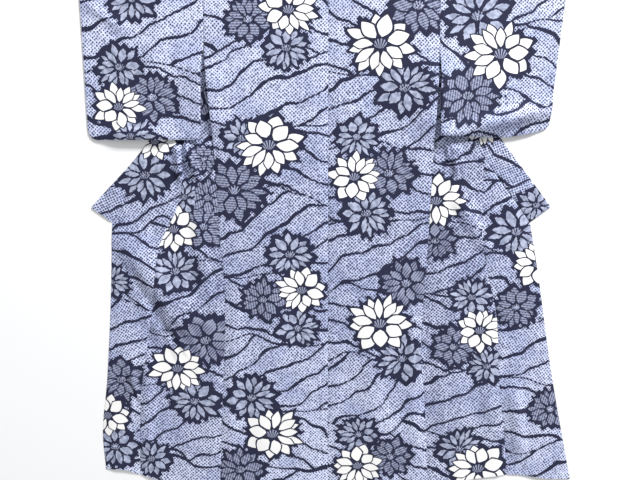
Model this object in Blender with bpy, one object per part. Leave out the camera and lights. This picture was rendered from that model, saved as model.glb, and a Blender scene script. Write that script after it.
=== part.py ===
"""Woman's cotton yukata, laid flat with its back up and its fronts swung out beyond the side seams.

Metres, +Z up. X runs across the garment, Y runs from the hem to the neck, and the floor is Z = 0.
Every shape is worked out in garment sizes: 'across' from the centre back seam, to the right, and
'down' from the shoulder line, towards the hem.
"""
from collections import namedtuple
import math

import bmesh
import bpy

# Whole garment
LENGTH = 1.500
CLOTH = 0.0016
COLLAR_CLOTH = 0.0030
SEAM_GAP = 0.0003
SLANT_GAP = 0.0004
ROW_STEP = 0.030
COLUMN_STEP = 0.034

# Place of the garment in its own frame: the middle of its box is the origin
SEAM_SHIFT = -0.0245
SHOULDER_Y = 0.7250

# Body and neck
NECK_HALF = 0.092
ARMHOLE = {"left": -0.333, "right": 0.298}
ARMHOLE_DEPTH = 0.240
FRONT_FOLD_END = 0.490
COLLAR_END = 0.715
KENSAKI = {"left": 0.383, "right": 0.5385}
KENSAKI_CUT = 0.006

# How high the layers lie over each other
FRONT_OVER_COLLAR = 0.0036
BACK_OVER_FRONT = 0.0026
SLEEVE_OVER_FRONT = 0.0024
SLEEVE_HOLLOW = 0.0008
SHOULDER_TURN = 0.0020
NECK_RISE = 0.0021
NEAR_COLLAR = 0.065
CLEAR_OF_COLLAR = 0.170

# Sleeves
CUFF_OPENING = 0.230
TAMOTO_RADIUS = 0.027
SLIT_LIFT = 0.010
SLIT_WIDTH = 0.075
LOWER_LIFT_SHARE = 0.75

At = namedtuple("At", "down across")
Width = namedtuple("Width", "down width")
Hem = namedtuple("Hem", "across down")
Fold = namedtuple("Fold", "down_from across_from down_to across_to half_width height")

SIDE_SEAM = {
    "left": (At(0.000, -0.333), At(0.240, -0.333), At(0.490, -0.315), At(0.766, -0.3025),
             At(0.938, -0.292), At(1.235, -0.305), At(1.500, -0.318)),
    "right": (At(0.000, 0.298), At(0.240, 0.298), At(0.490, 0.290), At(0.715, 0.283),
              At(1.085, 0.267), At(1.235, 0.281), At(1.500, 0.297)),
}
OKUMI_SEAM = {
    "left": (At(0.383, -0.364), At(0.504, -0.395), At(0.590, -0.401), At(0.673, -0.420),
             At(0.794, -0.475), At(0.938, -0.494), At(1.103, -0.522), At(1.235, -0.541),
             At(1.500, -0.553)),
    "right": (At(0.5385, 0.428), At(0.729, 0.428), At(0.814, 0.440), At(0.996, 0.482),
              At(1.175, 0.495), At(1.358, 0.516), At(1.500, 0.529)),
}
FRONT_EDGE = {
    "left": (At(0.715, -0.602), At(0.938, -0.619), At(1.175, -0.642), At(1.400, -0.661),
             At(1.500, -0.652)),
    "right": (At(0.715, 0.563), At(0.880, 0.596), At(1.100, 0.635), At(1.339, 0.682),
              At(1.500, 0.716)),
}
COLLAR_SEAM = {
    "left": (At(0.000, -0.092), At(0.250, -0.270), At(0.490, -0.441), At(0.715, -0.602)),
    "right": (At(0.000, 0.092), At(0.200, 0.172), At(0.365, 0.296), At(0.487, 0.389),
              At(0.715, 0.563)),
}
COLLAR_WIDTH = {
    "left": (Width(0.000, 0.055), Width(0.400, 0.045), Width(0.512, 0.037), Width(0.715, 0.069)),
    "right": (Width(0.000, 0.055), Width(0.487, 0.066), Width(0.715, 0.070)),
}
COLLAR_NECK = (At(0.024, -0.110), At(0.004, -0.080), At(0.004, -0.040), At(0.004, 0.000),
               At(0.004, 0.040), At(0.004, 0.080), At(0.024, 0.110))
HEM = (Hem(-0.660, 1.447), Hem(-0.600, 1.449), Hem(-0.555, 1.464), Hem(-0.490, 1.482),
       Hem(-0.300, 1.497), Hem(0.000, 1.501), Hem(0.300, 1.495), Hem(0.450, 1.475),
       Hem(0.547, 1.464), Hem(0.657, 1.477), Hem(0.720, 1.478))
HEM_STARTS = 1.100

SLEEVE_INNER = {
    "left": (At(0.000, -0.333), At(0.240, -0.333), At(0.282, -0.336), At(0.500, -0.342)),
    "right": (At(0.000, 0.298), At(0.240, 0.298), At(0.300, 0.300), At(0.500, 0.303)),
}
SLEEVE_OUTER = {
    "left": (At(0.000, -0.667), At(0.123, -0.664), At(0.500, -0.656)),
    "right": (At(0.000, 0.639), At(0.123, 0.629), At(0.500, 0.598)),
}
# The share of the sleeve's width, from the body, and how far down its lower edge is there
SLEEVE_BOTTOM = {
    "left": ((0.00, 0.490), (1.00, 0.490)),
    "right": ((0.00, 0.478), (0.55, 0.483), (0.80, 0.474), (1.00, 0.458)),
}

# Largest folds of the panels that lie on the floor
FLOOR_FOLDS = (
    Fold(0.735, -0.580, 1.060, -0.412, 0.034, 0.011),
    Fold(0.820, -0.588, 1.075, -0.470, 0.030, 0.006),
    Fold(1.050, -0.508, 1.490, -0.545, 0.036, 0.007),
    Fold(0.640, -0.365, 0.980, -0.345, 0.034, 0.005),
    Fold(0.620, 0.340, 0.830, 0.470, 0.036, 0.007),
    Fold(1.160, 0.535, 1.470, 0.565, 0.036, 0.006),
    Fold(0.860, 0.338, 1.400, 0.400, 0.040, 0.005),
    Fold(0.920, 0.238, 1.460, 0.262, 0.036, 0.005),
    Fold(0.660, -0.150, 1.470, -0.185, 0.070, 0.004),
    Fold(0.760, 0.120, 1.440, 0.150, 0.070, 0.004),
    Fold(0.900, -0.262, 1.450, -0.280, 0.036, 0.004),
)
# Largest folds of the sleeves, which both of their layers follow
SLEEVE_FOLDS = (
    Fold(0.460, 0.345, 0.408, 0.590, 0.030, 0.006),
    Fold(0.120, -0.660, 0.215, -0.520, 0.030, 0.004),
    Fold(0.090, 0.380, 0.300, 0.470, 0.045, 0.003),
    Fold(0.120, -0.420, 0.330, -0.500, 0.045, 0.003),
)


def smooth_step(start, end, value):
    """Rise softly from 0 at start to 1 at end."""
    share = min(1.0, max(0.0, (value - start) / (end - start)))
    return share * share * (3.0 - 2.0 * share)


def through(table, key):
    """A smooth curve through a table whose first column is the key. It never overshoots a row."""
    if key <= table[0][0]:
        return table[0][1]
    if key >= table[-1][0]:
        return table[-1][1]
    last = len(table) - 1
    rises = [(table[i + 1][1] - table[i][1]) / (table[i + 1][0] - table[i][0]) for i in range(last)]
    slopes = [rises[0]]
    for before, after in zip(rises[:-1], rises[1:]):
        slopes.append(2 * before * after / (before + after) if before * after > 0 else 0.0)
    slopes.append(rises[-1])
    index = max(i for i in range(last) if table[i][0] <= key)
    (start, low), (end, high) = table[index], table[index + 1]
    span = end - start
    t = (key - start) / span
    curve = (2 * t ** 3 - 3 * t ** 2 + 1) * low + (-2 * t ** 3 + 3 * t ** 2) * high
    lean = (t ** 3 - 2 * t ** 2 + t) * slopes[index] + (t ** 3 - t ** 2) * slopes[index + 1]
    return curve + lean * span


def collar_crossing(side):
    """How far down the collar's seam passes the armhole line."""
    low, high = 0.0, KENSAKI[side]
    for _ in range(40):
        middle = (low + high) / 2
        if abs(through(COLLAR_SEAM[side], middle)) < abs(ARMHOLE[side]):
            low = middle
        else:
            high = middle
    return low


CROSSING = {side: collar_crossing(side) for side in ("left", "right")}


def stations(side):
    """Distances down at which the pieces of one side have a row, the same on both sides of a seam."""
    fixed = [0.0, CROSSING[side], KENSAKI[side], KENSAKI[side] + KENSAKI_CUT, FRONT_FOLD_END,
             COLLAR_END, LENGTH]
    evenly = [ROW_STEP * index for index in range(int(LENGTH / ROW_STEP) + 1)]
    spaced = [down for down in evenly if min(abs(down - other) for other in fixed) > ROW_STEP / 3]
    return sorted(fixed + spaced)


def front_inner(side, down):
    """Edge of a front: the fold that runs under the back from the neck, then the side seam."""
    if down < FRONT_FOLD_END:
        start = math.copysign(NECK_HALF, ARMHOLE[side])
        end = through(SIDE_SEAM[side], FRONT_FOLD_END)
        return start + (end - start) * down / FRONT_FOLD_END
    return through(SIDE_SEAM[side], down)


def front_outer(side, down):
    """Edge of a front: the armhole, then the collar's seam, then the seam of the overlap panel."""
    if down <= CROSSING[side]:
        return ARMHOLE[side]
    if down <= KENSAKI[side]:
        return through(COLLAR_SEAM[side], down)
    return through(OKUMI_SEAM[side], down)


def okumi_outer(side, down):
    """Free edge of an overlap panel: the collar's seam, then the front edge."""
    if down <= COLLAR_END:
        return through(COLLAR_SEAM[side], down)
    return through(FRONT_EDGE[side], down)


def hem_shift(across, down):
    """The hem isn't level, so the lower rows follow it more and more."""
    return (through(HEM, across) - LENGTH) * smooth_step(HEM_STARTS, LENGTH, down)


def distance_to_line(across, down, line):
    """Distance to a straight line between two points, and the share of its length passed there."""
    (x0, y0), (x1, y1) = line
    dx, dy = x1 - x0, y1 - y0
    share = ((across - x0) * dx + (down - y0) * dy) / (dx * dx + dy * dy)
    held = min(1.0, max(0.0, share))
    return math.hypot(across - x0 - held * dx, down - y0 - held * dy), held


def collar_axis():
    """A few straight lines down the middle of the collar, which the upper layers lie over."""
    points = []
    for side, downs in (("left", (0.60, 0.45, 0.30, 0.15, 0.03)), ("right", (0.03, 0.15, 0.30, 0.45, 0.60))):
        for down in downs:
            half = through(COLLAR_WIDTH[side], down) / 2
            lean = math.copysign(0.8 * half, ARMHOLE[side])
            points.append((through(COLLAR_SEAM[side], down) + lean, down - 0.6 * half))
        if side == "left":
            points.append((0.0, -0.025))
    return list(zip(points[:-1], points[1:]))


COLLAR_AXIS = collar_axis()


def near_collar(across, down):
    """1 over the collar, falling to 0 where the cloth is back on the floor."""
    nearest = min(distance_to_line(across, down, line)[0] for line in COLLAR_AXIS)
    return 1.0 - smooth_step(NEAR_COLLAR, CLEAR_OF_COLLAR, nearest)


def fold_height(across, down, folds):
    """Height of the folds at a place: soft ridges that run out at their ends."""
    height = 0.0
    for fold in folds:
        line = ((fold.across_from, fold.down_from), (fold.across_to, fold.down_to))
        away, share = distance_to_line(across, down, line)
        if away < fold.half_width:
            crest = 0.5 + 0.5 * math.cos(math.pi * away / fold.half_width)
            ends = smooth_step(0.0, 0.25, share) * smooth_step(0.0, 0.25, 1.0 - share)
            height += fold.height * crest * ends
    return height


def front_floor(across, down):
    """Lower face of the fronts and overlap panels."""
    over = FRONT_OVER_COLLAR * near_collar(across, down) * (1.0 - smooth_step(0.40, 0.50, down))
    return over + fold_height(across, down, FLOOR_FOLDS)


def back_floor(across, down):
    """Lower face of the back, which lies on the fronts under the sleeves and on the collar."""
    side = "left" if across < 0 else "right"
    from_fold = abs(front_inner(side, min(down, FRONT_FOLD_END))) - abs(across)
    on_front = 1.0 - smooth_step(0.035, 0.120, from_fold)
    at_neck = 1.0 - smooth_step(0.020, 0.090, down)
    layered = 1.0 - smooth_step(0.52, 0.64, down)
    over = FRONT_OVER_COLLAR * near_collar(across, down) + BACK_OVER_FRONT * max(on_front, at_neck)
    return over * layered + fold_height(across, down, FLOOR_FOLDS)


def slit_lift(side, across, down):
    """The open body-side edge of a sleeve stands up a little below the armhole."""
    from_edge = abs(across) - abs(through(SLEEVE_INNER[side], down))
    along = smooth_step(ARMHOLE_DEPTH, ARMHOLE_DEPTH + 0.08, down)
    return SLIT_LIFT * along * (1.0 - smooth_step(0.0, SLIT_WIDTH, from_edge))


def sleeve_floor(side, across, down):
    """Lower face of a sleeve's under layer."""
    rise = FRONT_OVER_COLLAR + SLEEVE_OVER_FRONT * smooth_step(0.22, 0.30, down)
    folds = fold_height(across, down, SLEEVE_FOLDS)
    return rise * near_collar(across, down) + folds + LOWER_LIFT_SHARE * slit_lift(side, across, down)


def sleeve_hollow(side, across, down):
    """Height of the gap between a sleeve's two layers."""
    return SLEEVE_HOLLOW + (1.0 - LOWER_LIFT_SHARE) * slit_lift(side, across, down)


def place(across, down, height):
    """From garment sizes to the garment's own frame."""
    return (across + SEAM_SHIFT, SHOULDER_Y - down, height)


def colour_of(name):
    """Indigo and white cotton, a little lighter on the sleeves and darker on the collar."""
    if name.startswith("sleeve"):
        return (0.24, 0.27, 0.37, 1.0)
    if name.startswith("collar"):
        return (0.12, 0.14, 0.23, 1.0)
    return (0.20, 0.23, 0.33, 1.0)


def cloth_material(name):
    """One plain cotton material for a piece."""
    material = bpy.data.materials.new("cotton_" + name)
    material.use_nodes = True
    shader = material.node_tree.nodes["Principled BSDF"]
    shader.inputs["Base Color"].default_value = colour_of(name)
    shader.inputs["Roughness"].default_value = 0.85
    shader.inputs["Metallic"].default_value = 0.0
    return material


def add_object(name, shape):
    """Close the books on a piece: faces point out, smooth shading, its own material."""
    bmesh.ops.recalc_face_normals(shape, faces=shape.faces)
    mesh = bpy.data.meshes.new(name)
    shape.to_mesh(mesh)
    shape.free()
    mesh.shade_smooth()
    mesh.set_sharp_from_angle(angle=math.radians(35))
    mesh.materials.append(cloth_material(name))
    piece = bpy.data.objects.new(name, mesh)
    bpy.context.scene.collection.objects.link(piece)
    return piece


def skin(shape, grid):
    """Faces over a grid of points."""
    for row, next_row in zip(grid[:-1], grid[1:]):
        for i in range(len(row) - 1):
            shape.faces.new((row[i], row[i + 1], next_row[i + 1], next_row[i]))


def border(grid):
    """The points round a grid, in order."""
    right = [row[-1] for row in grid[1:-1]]
    left = [row[0] for row in grid[-2:0:-1]]
    return grid[0] + right + grid[-1][::-1] + left


def add_wall(name, lower, upper):
    """A cloth wall between two grids of points."""
    shape = bmesh.new()
    under = [[shape.verts.new(point) for point in row] for row in lower]
    over = [[shape.verts.new(point) for point in row] for row in upper]
    skin(shape, under)
    skin(shape, over)
    low_rim, high_rim = border(under), border(over)
    for i in range(len(low_rim)):
        j = (i + 1) % len(low_rim)
        shape.faces.new((low_rim[i], low_rim[j], high_rim[j], high_rim[i]))
    return add_object(name, shape)


def add_panel(name, downs, edges, floor_at, columns, top_turn=None):
    """A flat panel between two edges, with a row at each distance down."""
    lower, upper = [], []
    for down in downs:
        start, end = edges(down)
        low_row, high_row = [], []
        for column in range(columns + 1):
            across = start + (end - start) * column / columns
            placed = down + hem_shift(across, down)
            height = floor_at(across, down)
            if top_turn:
                height -= top_turn(across, down)
            low_row.append(place(across, placed, height))
            high_row.append(place(across, placed, height + CLOTH))
        lower.append(low_row)
        upper.append(high_row)
    return add_wall(name, lower, upper)


def add_back(side):
    """Half of the back, from the shoulder fold to the hem."""
    sign = math.copysign(1.0, ARMHOLE[side])
    shoulder_edge = 0.003

    def edges(down):
        outer = through(SIDE_SEAM[side], max(0.0, down))
        return sign * SEAM_GAP / 2, outer - sign * SEAM_GAP / 2

    def turn(across, down):
        if down > 0.0:
            return 0.0
        return SHOULDER_TURN * smooth_step(NECK_HALF, 0.125, abs(across))

    downs = [-shoulder_edge, shoulder_edge] + stations(side)[1:]
    columns = round(abs(ARMHOLE[side]) / COLUMN_STEP)
    add_panel("back_" + side, downs, edges, back_floor, columns, turn)


def add_front(side):
    """A front, from the shoulder under the back and sleeve to the hem."""
    sign = math.copysign(1.0, ARMHOLE[side])
    shoulder_edge = 0.0048

    def edges(down):
        on_collar = CROSSING[side] < down <= KENSAKI[side]
        gap = SLANT_GAP if on_collar else SEAM_GAP / 2
        inner = front_inner(side, down) + sign * SEAM_GAP / 2
        return inner, front_outer(side, down) - sign * gap

    downs = [shoulder_edge] + stations(side)[1:]
    add_panel("front_" + side, downs, edges, front_floor, 7)


def add_okumi(side):
    """An overlap panel, from its point under the collar to the hem."""
    sign = math.copysign(1.0, ARMHOLE[side])

    def edges(down):
        gap = SLANT_GAP if down <= COLLAR_END else 0.0
        inner = through(OKUMI_SEAM[side], down) + sign * SEAM_GAP / 2
        return inner, okumi_outer(side, down) - sign * gap

    downs = [down for down in stations(side) if down >= KENSAKI[side] + KENSAKI_CUT]
    add_panel("okumi_" + side, downs, edges, front_floor, 5)


def collar_path():
    """Seam edge of the collar as points with a width, from the left end round the neck to the right."""
    path = []
    for side in ("left", "right"):
        downs = [down for down in stations(side) if 0.055 < down <= COLLAR_END]
        if side == "left":
            downs = downs[::-1]
        arm = [(through(COLLAR_SEAM[side], down), down, through(COLLAR_WIDTH[side], down)) for down in downs]
        path += arm
        if side == "left":
            path += [(point.across, point.down, COLLAR_WIDTH[side][0].width) for point in COLLAR_NECK]
    return path


def add_collar():
    """The doubled collar strip, lying straight from each end to the neck."""
    path = collar_path()
    shares = (0.0, 0.5, 1.0)
    crown = (0.8, 1.0, 0.8)
    lower, upper = [], []
    for index, (across, down, width) in enumerate(path):
        before = path[max(0, index - 1)]
        after = path[min(len(path) - 1, index + 1)]
        dx, dy = after[0] - before[0], after[1] - before[1]
        size = math.hypot(dx, dy)
        out_across, out_down = dy / size, -dx / size
        rise = NECK_RISE * (1.0 - smooth_step(0.050, 0.085, abs(across))) * (down < 0.05)
        low_row, high_row = [], []
        for share, full in zip(shares, crown):
            x = across + out_across * width * share
            y = down + out_down * width * share
            low_row.append(place(x, y, rise))
            high_row.append(place(x, y, rise + COLLAR_CLOTH * full))
        lower.append(low_row)
        upper.append(high_row)
    add_wall("collar", lower, upper)


def sleeve_bottom(side, share):
    """How far down the sleeve's lower edge is, with the rounded outer corner."""
    level = through(SLEEVE_BOTTOM[side], share)
    width = abs(through(SLEEVE_OUTER[side], level) - through(SLEEVE_INNER[side], level))
    from_outer = (1.0 - share) * width
    if from_outer >= TAMOTO_RADIUS:
        return level
    drop = TAMOTO_RADIUS - math.sqrt(TAMOTO_RADIUS ** 2 - (TAMOTO_RADIUS - from_outer) ** 2)
    return level - drop


def sleeve_point(side, share, down):
    """Across position of a place on the sleeve."""
    sign = math.copysign(1.0, ARMHOLE[side])
    inner = through(SLEEVE_INNER[side], down) + sign * SEAM_GAP / 2
    outer = through(SLEEVE_OUTER[side], down)
    return inner + (outer - inner) * share


def add_sleeve(side):
    """A sleeve: a flat tube, folded at the top, open at the body side and at the cuff."""
    width = abs(SLEEVE_OUTER[side][0].across - SLEEVE_INNER[side][0].across)
    corner = TAMOTO_RADIUS / width
    shares = [0.0, 0.08, 0.17, 0.27, 0.38, 0.49, 0.60, 0.71, 0.82]
    shares += [1.0 - corner, 1.0 - corner * 0.45, 1.0 - corner * 0.12, 1.0]
    rows = 15
    outside, inside = [], []
    for share in shares:
        bottom = sleeve_bottom(side, share)
        x_inset = CLOTH / width if share == 1.0 else 0.0
        outer_pair, inner_pair = [], []
        for layer in ("under", "over"):
            outer_line, inner_line = [], []
            for row in range(rows + 1):
                down = bottom * row / rows
                inner_down = min(bottom - CLOTH, max(CLOTH, down))
                across = sleeve_point(side, share, down)
                inner_across = sleeve_point(side, share - x_inset, inner_down)
                low = sleeve_floor(side, across, down)
                hollow = sleeve_hollow(side, across, down)
                outer_height = low if layer == "under" else low + 2 * CLOTH + hollow
                inner_height = low + CLOTH if layer == "under" else low + CLOTH + hollow
                outer_line.append(place(across, down, outer_height))
                inner_line.append(place(inner_across, inner_down, inner_height))
            outer_pair.append(outer_line)
            inner_pair.append(inner_line)
        outside.append(outer_pair)
        inside.append(inner_pair)
    cuff_row = round(rows * CUFF_OPENING / through(SLEEVE_BOTTOM[side], 1.0))
    build_sleeve("sleeve_" + side, outside, inside, cuff_row)


def build_sleeve(name, outside, inside, cuff_row):
    """Join the outer and inner faces of a sleeve round its two openings."""
    shape = bmesh.new()
    outer = [[[shape.verts.new(p) for p in line] for line in pair] for pair in outside]
    inner = [[[shape.verts.new(p) for p in line] for line in pair] for pair in inside]
    for surface in (outer, inner):
        for layer in (0, 1):
            skin(shape, [pair[layer] for pair in surface])
        for pair, next_pair in zip(surface[:-1], surface[1:]):
            for row in (0, -1):
                shape.faces.new((pair[0][row], pair[1][row], next_pair[1][row], next_pair[0][row]))
    last = len(outer[0][0]) - 1
    body_outer, body_inner = outer[0], inner[0]
    cuff_outer, cuff_inner = outer[-1], inner[-1]
    for layer in (0, 1):
        for row in range(last):
            pairs = [(body_outer, body_inner)]
            if row < cuff_row:
                pairs.append((cuff_outer, cuff_inner))
            for out, ins in pairs:
                shape.faces.new((out[layer][row], out[layer][row + 1], ins[layer][row + 1], ins[layer][row]))
    for pair_out, pair_in, row in ((body_outer, body_inner, 0), (body_outer, body_inner, last),
                                   (cuff_outer, cuff_inner, 0), (cuff_outer, cuff_inner, cuff_row)):
        shape.faces.new((pair_out[0][row], pair_out[1][row], pair_in[1][row], pair_in[0][row]))
    for surface in (cuff_outer, cuff_inner):
        for row in range(cuff_row, last):
            shape.faces.new((surface[0][row], surface[0][row + 1], surface[1][row + 1], surface[1][row]))
    return add_object(name, shape)


def build():
    """Clear the scene and make every piece."""
    for old in list(bpy.data.objects):
        bpy.data.objects.remove(old, do_unlink=True)
    for side in ("left", "right"):
        add_back(side)
        add_front(side)
        add_okumi(side)
        add_sleeve(side)
    add_collar()


build()
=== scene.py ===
"""Looks of a woman's cotton yukata that lies flat, back up, with its fronts swung out.

Every shape is worked out in garment sizes: 'across' from the centre back seam, to the right, and
'down' from the shoulder line, towards the hem. place() turns them into the frame of the CAD model.
Rows of points, folds and flowers are given in millimetres, and all other lengths in metres.
"""
from collections import namedtuple
import math

import bmesh
import bpy
import numpy as np
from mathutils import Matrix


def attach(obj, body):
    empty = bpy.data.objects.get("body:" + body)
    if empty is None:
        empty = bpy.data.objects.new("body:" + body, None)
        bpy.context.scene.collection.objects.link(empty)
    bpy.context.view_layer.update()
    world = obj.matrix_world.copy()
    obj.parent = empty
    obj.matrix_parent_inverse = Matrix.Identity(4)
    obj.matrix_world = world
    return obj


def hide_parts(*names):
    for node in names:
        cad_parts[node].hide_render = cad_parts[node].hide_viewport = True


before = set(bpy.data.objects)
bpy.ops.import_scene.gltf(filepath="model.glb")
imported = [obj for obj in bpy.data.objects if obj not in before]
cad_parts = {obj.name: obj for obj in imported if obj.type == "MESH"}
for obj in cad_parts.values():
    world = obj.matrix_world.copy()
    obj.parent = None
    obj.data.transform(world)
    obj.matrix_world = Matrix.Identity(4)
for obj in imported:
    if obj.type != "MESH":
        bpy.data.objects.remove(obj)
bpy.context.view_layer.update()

# Whole garment, in metres
LENGTH = 1.5
SHELL = 0.0013
COLLAR_SHELL = 0.0028
SEAM_GAP = 0.0003
SLANT_GAP = 0.0004
CELL = 0.0056
FRONT_COLUMNS = 38
OKUMI_COLUMNS = 26
SLEEVE_COLUMNS = 48
SLEEVE_ROWS = 84
SHARP_ANGLE = 50

# Place of the garment in the frame
SEAM_SHIFT = -0.0245
SHOULDER_Y = 0.725

# Body and neck
SIGN = {"left": -1.0, "right": 1.0}
NECK_HALF = 0.092
ARMHOLE = {"left": -0.333, "right": 0.298}
ARMHOLE_DEPTH = 0.24
FRONT_FOLD_END = 0.49
COLLAR_END = 0.715
KENSAKI = {"left": 0.383, "right": 0.5385}
KENSAKI_CUT = 0.006
FRONT_TOP = 0.0048

# How high the layers lie over each other
FRONT_OVER_COLLAR = 0.0036
BACK_OVER_FRONT = 0.0026
SLEEVE_OVER_FRONT = 0.0024
SLEEVE_HOLLOW = 0.0011
SHOULDER_TURN = 0.002
NECK_RISE = 0.0021
NEAR_COLLAR = 0.065
CLEAR_OF_COLLAR = 0.17

# Where soft steps from one height to the next begin and end
FRONT_OFF_COLLAR = (0.40, 0.50)
BACK_OFF_FRONT = (0.035, 0.120)
BACK_OFF_SHOULDER = (0.020, 0.090)
BACK_OFF_LAYERS = (0.52, 0.64)
SLEEVE_ON_FRONT = (0.22, 0.30)
TURN_ACROSS = (NECK_HALF, 0.125)
TURN_DOWN = (-0.003, 0.003)
TURN_ROWS = (-0.003, -0.0015, 0.0, 0.0015)
NECK_RISE_ACROSS = (0.050, 0.085)
NECK_RISE_DOWN = 0.05

# Sleeves
CUFF_OPENING = 0.23
TAMOTO_RADIUS = {"left": 0.027, "right": 0.012}
SLIT_LIFT = 0.01
SLIT_WIDTH = 0.075
SLIT_STARTS = (ARMHOLE_DEPTH, ARMHOLE_DEPTH + 0.08)
BACK_EDGE_LIFT = 0.0085
BACK_EDGE_STARTS = (ARMHOLE_DEPTH + 0.01, ARMHOLE_DEPTH + 0.10)
BACK_EDGE_ENDS = (0.43, 0.50)
LOWER_LIFT_SHARE = 0.75
CORNER_STEPS = (0.8, 0.6, 0.42, 0.27, 0.15, 0.07, 0.02, 0.0)
FOLD_STEPS = (0.0, 0.0012, 0.004, 0.008)
NEXT_STEP = 0.014
FOLD_REACH = 0.005
FOLD_ROUND = 0.55

# Edges, seams and hems of the shells
LOOSE = 0.0038
LOOSE_FROM = {"back": 0.06, "front": 0.50, "okumi": 0.50}
LOOSE_GROWS = 0.12
SEAM_VALLEY = 0.03
HEM_FOLD = 0.012
HEM_SOFT = 0.001
HEM_STEP = 0.0006
EDGE_STEPS = (0.0, 0.0012, 0.0030, 0.0058)
EDGE_ROOM = 0.03
SEAM_ROLL = 0.0009
SEAM_ROLL_WIDTH = 0.004
# Share of its length over which a fold or tuck runs out at each end
FOLD_ENDS = 0.25
TUCK_ENDS = 0.3

At = namedtuple("At", "down across")
Width = namedtuple("Width", "down width")
Hem = namedtuple("Hem", "across down")
Wave = namedtuple("Wave", "across down phase")
Fold = namedtuple("Fold", "down_from across_from down_to across_to half_width height")
Tuck = namedtuple("Tuck", "down_from across_from down_to across_to rise drop height")
Flower = namedtuple("Flower", "across down radius turn kind")
Drawn = namedtuple("Drawn", "petals fan halo local distance seed kind radius")
Run = namedtuple("Run", "crest middle lean fuller")
Ring = namedtuple("Ring", "base tip vary half")
Lamp = namedtuple("Lamp", "name at size power")


def in_metres(kind, rows):
    """Rows of a table in millimetres as named tuples in metres."""
    return tuple(kind(*(value / 1000 for value in row)) for row in rows)


SIDE_SEAM = {
    "left": in_metres(At, ((0, -333), (240, -333), (490, -315), (766, -302.5), (938, -292), (1235, -305),
        (1500, -318))),
    "right": in_metres(At, ((0, 298), (240, 298), (490, 290), (715, 283), (1085, 267), (1235, 281),
        (1500, 297))),
}
OKUMI_SEAM = {
    "left": in_metres(At, ((383, -364), (504, -395), (590, -401), (673, -420), (794, -475), (938, -494),
        (1103, -522), (1235, -541), (1500, -553))),
    "right": in_metres(At, ((538.5, 428), (729, 428), (814, 440), (996, 482), (1175, 495), (1358, 516),
        (1500, 529))),
}
FRONT_EDGE = {
    "left": in_metres(At, ((715, -602), (938, -616), (1175, -637), (1400, -658), (1500, -653))),
    "right": in_metres(At, ((715, 563), (880, 596), (1100, 635), (1339, 682), (1500, 716))),
}
COLLAR_SEAM = {
    "left": in_metres(At, ((0, -92), (250, -270), (490, -441), (715, -602))),
    "right": in_metres(At, ((0, 92), (200, 172), (365, 296), (487, 389), (715, 563))),
}
COLLAR_WIDTH = {
    "left": in_metres(Width, ((0, 55), (400, 45), (512, 40), (715, 69))),
    "right": in_metres(Width, ((0, 55), (487, 66), (715, 70))),
}
COLLAR_NECK = in_metres(At, ((24, -110), (4, -80), (4, -40), (4, 0), (4, 40), (4, 80), (24, 110)))
HEM = in_metres(Hem, ((-660, 1447), (-600, 1449), (-555, 1464), (-490, 1482), (-300, 1497), (0, 1501),
        (300, 1495), (450, 1475), (547, 1464), (657, 1477), (720, 1478)))
HEM_STARTS = 1.1
# The collar's thickness across its width: shares of both, from the seam to the fold
COLLAR_PROFILE = ((0.0, 0.45), (0.02, 0.70), (0.06, 0.88), (0.14, 0.97), (0.30, 1.0), (0.50, 1.0),
                  (0.70, 1.0), (0.86, 0.97), (0.94, 0.88), (0.98, 0.66), (1.0, 0.38))
NECK_ENDS = 0.06
NECK_STEPS = 6
# Line down the middle of the collar, which the upper layers lie over
AXIS_DOWNS = (0.03, 0.15, 0.30, 0.45, 0.60)
AXIS_OUT, AXIS_UP = 0.8, 0.6
AXIS_AT_NECK = (0.0, -0.025)

SLEEVE_INNER = {
    "left": in_metres(At, ((0, -333), (240, -334), (282, -341), (500, -346))),
    "right": in_metres(At, ((0, 298), (240, 298), (300, 302), (500, 305))),
}
SLEEVE_OUTER = {
    "left": in_metres(At, ((0, -662), (123, -660), (500, -655))),
    "right": in_metres(At, ((0, 639), (123, 629), (500, 598))),
}
SLEEVE_BOTTOM = {
    "left": ((0.00, 0.490), (1.00, 0.490)),
    "right": ((0.00, 0.478), (0.55, 0.483), (0.80, 0.474), (1.00, 0.458)),
}

# The large folds of the solids. The largest one is the first of the tucks
FLOOR_FOLDS = in_metres(Fold, (
    (820, -588, 1075, -470, 30, 4),
    (1050, -508, 1490, -545, 36, 7),
    (640, -365, 980, -345, 34, 5),
    (620, 340, 830, 470, 36, 7),
    (1160, 535, 1470, 565, 36, 6),
    (860, 338, 1400, 400, 40, 5),
    (920, 238, 1460, 262, 36, 5),
    (660, -150, 1470, -185, 70, 4),
    (760, 120, 1440, 150, 70, 4),
    (900, -262, 1450, -280, 36, 4),
))
SLEEVE_FOLDS = in_metres(Fold, (
    (460, 345, 408, 590, 30, 6),
    (120, -660, 215, -520, 30, 4),
    (90, 380, 300, 470, 45, 3),
    (120, -420, 330, -500, 45, 3),
))
# Smaller creases, only in the shells
FLOOR_CREASES = in_metres(Fold, (
    (490, -398, 570, -371, 11, 5),
    (500, -412, 610, -408, 10, 3.5),
    (490, 322, 560, 336, 10, 5),
    (500, 352, 600, 380, 12, 3),
))
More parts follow.
